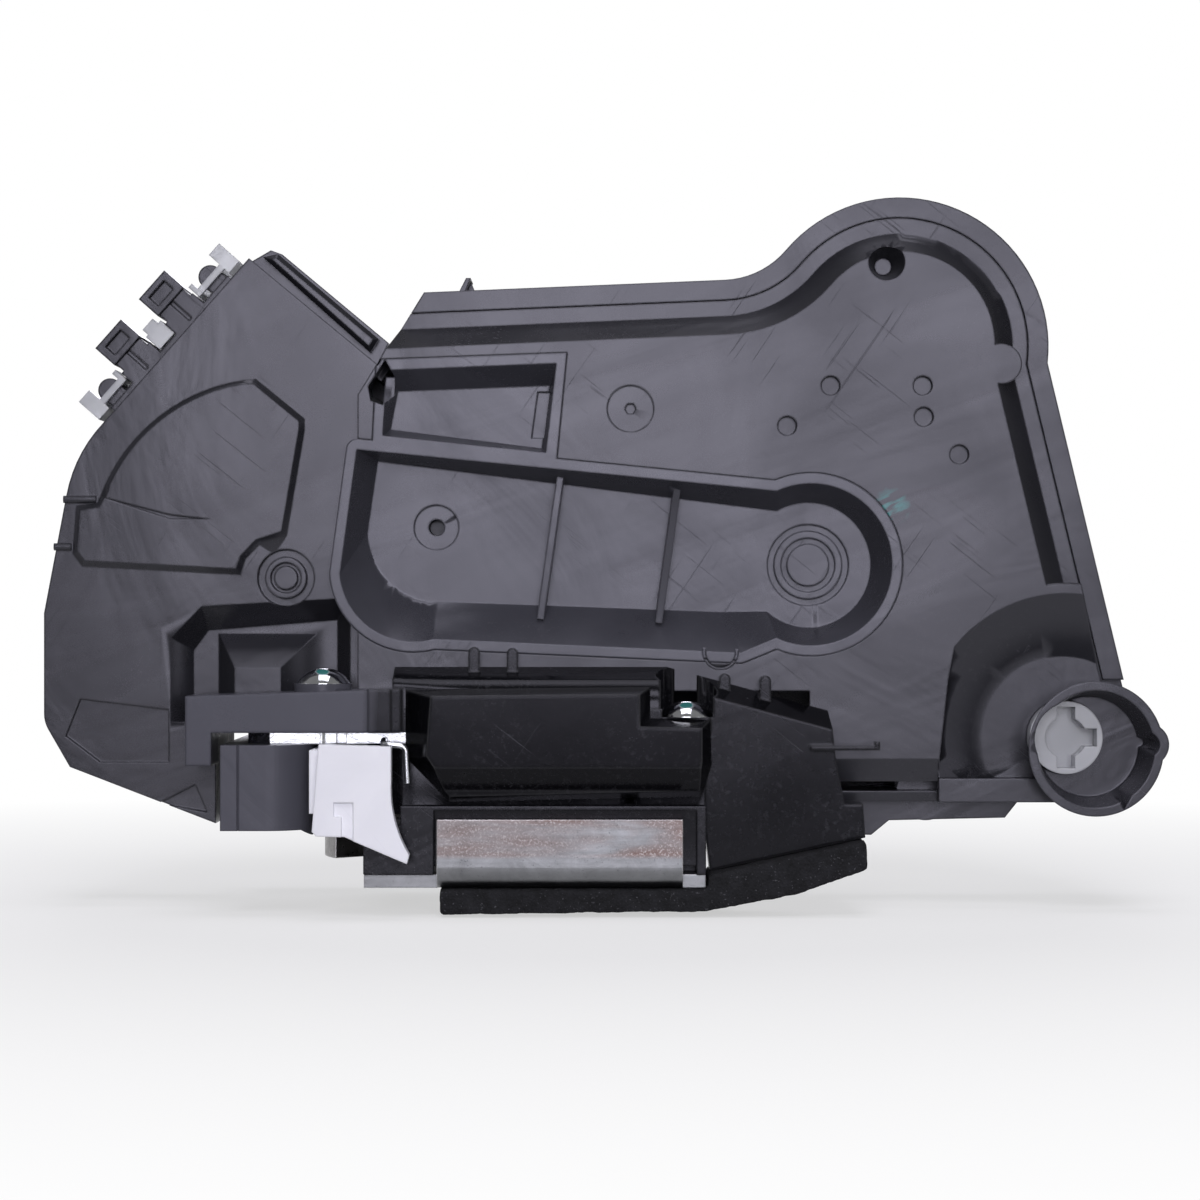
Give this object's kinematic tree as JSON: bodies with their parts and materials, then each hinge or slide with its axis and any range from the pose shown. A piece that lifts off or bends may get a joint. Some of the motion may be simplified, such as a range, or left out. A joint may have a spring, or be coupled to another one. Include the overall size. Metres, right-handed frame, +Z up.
{
  "type": "door latch actuator",
  "caption": "Vehicle door latch with its powered lock drive in a moulded two-part housing, with a rotary claw and pawl, connectors, key coupling and a white shipping plug.",
  "frame": {"origin": "middle of the striker mouth, in the plane of the face plate's outer face, level with the front of the raised tray", "axes": "+X to the right along the housing and +Z up, as seen from the cabin side; +Y away from the cabin; -Z is the way the fixing screws leave"},
  "size_m": [0.2117, 0.066, 0.1347],
  "materials": {
    "front_cover": "moulded black plastic, satin with flow marks",
    "cover_insert": "moulded black plastic, satin",
    "key_guide": "moulded black plastic, satin",
    "housing_rim": "moulded black plastic, satin",
    "cable_bush": "black rubber",
    "rear_housing": "moulded black plastic",
    "connector_housing": "moulded black plastic",
    "connector_lock": "natural translucent plastic",
    "terminals": "tinned brass",
    "circuit_carrier": "moulded lead-frame carrier",
    "carrier_screws": "zinc-plated steel",
    "position_sensors": "moulded sensor bodies",
    "cover_screws": "dark-plated steel",
    "lock_motor": "plated steel can",
    "motor_cap": "white plastic",
    "worm": "ground steel",
    "lock_gear": "acetal",
    "gear_pin": "ground steel",
    "lock_lever": "acetal",
    "lock_lever_pin": "ground steel",
    "release_lever": "zinc-plated steel",
    "release_lever_pin": "ground steel",
    "inside_lever": "zinc-plated steel",
    "inside_lever_pin": "ground steel",
    "key_coupling": "natural translucent plastic",
    "key_lever": "glass-filled plastic",
    "face_plate": "zinc-plated pressed steel",
    "back_plate": "zinc-plated pressed steel",
    "claw": "hardened steel",
    "claw_pin": "steel rivet",
    "claw_spring": "spring steel",
    "pawl": "hardened steel",
    "pawl_pin": "steel rivet",
    "pawl_spring": "spring steel",
    "retaining_wire": "bright steel wire",
    "latch_housing": "moulded black plastic",
    "mouth_bumper": "black rubber",
    "latch_frame": "moulded black plastic, dusty",
    "mechanism_cover": "glossy black plastic, dusty",
    "shipping_plug": "white plastic",
    "foam_seal": "open-cell black foam",
    "frame_screws": "bright chromium plate"
  },
  "bodies": {
    "housing": {"front_cover": "front_cover", "cover_insert": "cover_insert", "key_guide": "key_guide", "housing_rim": "housing_rim", "cable_bush": "cable_bush", "rear_housing": "rear_housing", "connector_housing": "connector_housing", "connector_lock": "connector_lock", "terminals": "terminals", "circuit_carrier": "circuit_carrier", "carrier_screws": "carrier_screws", "position_sensors": "position_sensors", "cover_screws": "cover_screws", "lock_motor": "lock_motor", "motor_cap": "motor_cap", "gear_pin": "gear_pin", "lock_lever_pin": "lock_lever_pin", "release_lever_pin": "release_lever_pin", "inside_lever_pin": "inside_lever_pin", "face_plate": "face_plate", "back_plate": "back_plate", "claw_pin": "claw_pin", "claw_spring": "claw_spring", "pawl_pin": "pawl_pin", "pawl_spring": "pawl_spring", "retaining_wire": "retaining_wire", "latch_housing": "latch_housing", "mouth_bumper": "mouth_bumper", "latch_frame": "latch_frame", "mechanism_cover": "mechanism_cover", "foam_seal": "foam_seal", "frame_screws": "frame_screws"},
    "claw": {"claw": "claw"},
    "pawl": {"pawl": "pawl"},
    "release_lever": {"release_lever": "release_lever"},
    "inside_lever": {"inside_lever": "inside_lever"},
    "lock_lever": {"lock_lever": "lock_lever"},
    "key": {"key_coupling": "key_coupling", "key_lever": "key_lever"},
    "worm": {"worm": "worm"},
    "lock_gear": {"lock_gear": "lock_gear"},
    "shipping_plug": {"shipping_plug": "shipping_plug"}
  },
  "joints": [
    {"name": "claw_turn", "type": "hinge", "parent": "housing", "child": "claw", "pos_m": [0.019, 0.012, 0.0084], "axis": [0, 0, -1], "range_deg": [0, 42], "stiffness_Nm_per_rad": 0.05},
    {"name": "release_lever_turn", "type": "hinge", "parent": "housing", "child": "release_lever", "pos_m": [0.04, 0.0165, 0.056], "axis": [0, -1, 0], "range_deg": [0, 10]},
    {"name": "pawl_turn", "type": "hinge", "parent": "housing", "child": "pawl", "pos_m": [0.054, -0.002, 0.0084], "axis": [0, 0, -1], "range_deg": [0, 10], "stiffness_Nm_per_rad": 0.03},
    {"name": "inside_lever_turn", "type": "hinge", "parent": "housing", "child": "inside_lever", "pos_m": [0.008, 0.0165, 0.066], "axis": [0, 1, 0], "range_deg": [0, 25], "stiffness_Nm_per_rad": 0.01, "springref_deg": -5.73},
    {"name": "lock_lever_turn", "type": "hinge", "parent": "housing", "child": "lock_lever", "pos_m": [0.07, 0.0289, 0.046], "axis": [0, 1, 0], "range_deg": [-12, 12]},
    {"name": "key_turn", "type": "hinge", "parent": "housing", "child": "key", "pos_m": [0.1365, 0.006, 0.0272], "axis": [0, 1, 0], "range_deg": [-55, 55]},
    {"name": "worm_turn", "type": "hinge", "parent": "housing", "child": "worm", "pos_m": [0.0883, 0.022, 0.07647], "axis": [1, 0, 0], "continuous": true},
    {"name": "lock_gear_turn", "type": "hinge", "parent": "housing", "child": "lock_gear", "pos_m": [0.0883, 0.022, 0.0599], "axis": [0, -1, 0], "continuous": true},
    {"name": "plug_pull", "type": "slide", "parent": "housing", "child": "shipping_plug", "axis": [0, -1, 0], "range_m": [0, 0.03]}
  ],
  "couplings": [
    {"joint": "pawl_turn", "follows": "release_lever_turn", "ratio": 1},
    {"joint": "lock_gear_turn", "follows": "worm_turn", "ratio": 0.035714}
  ]
}
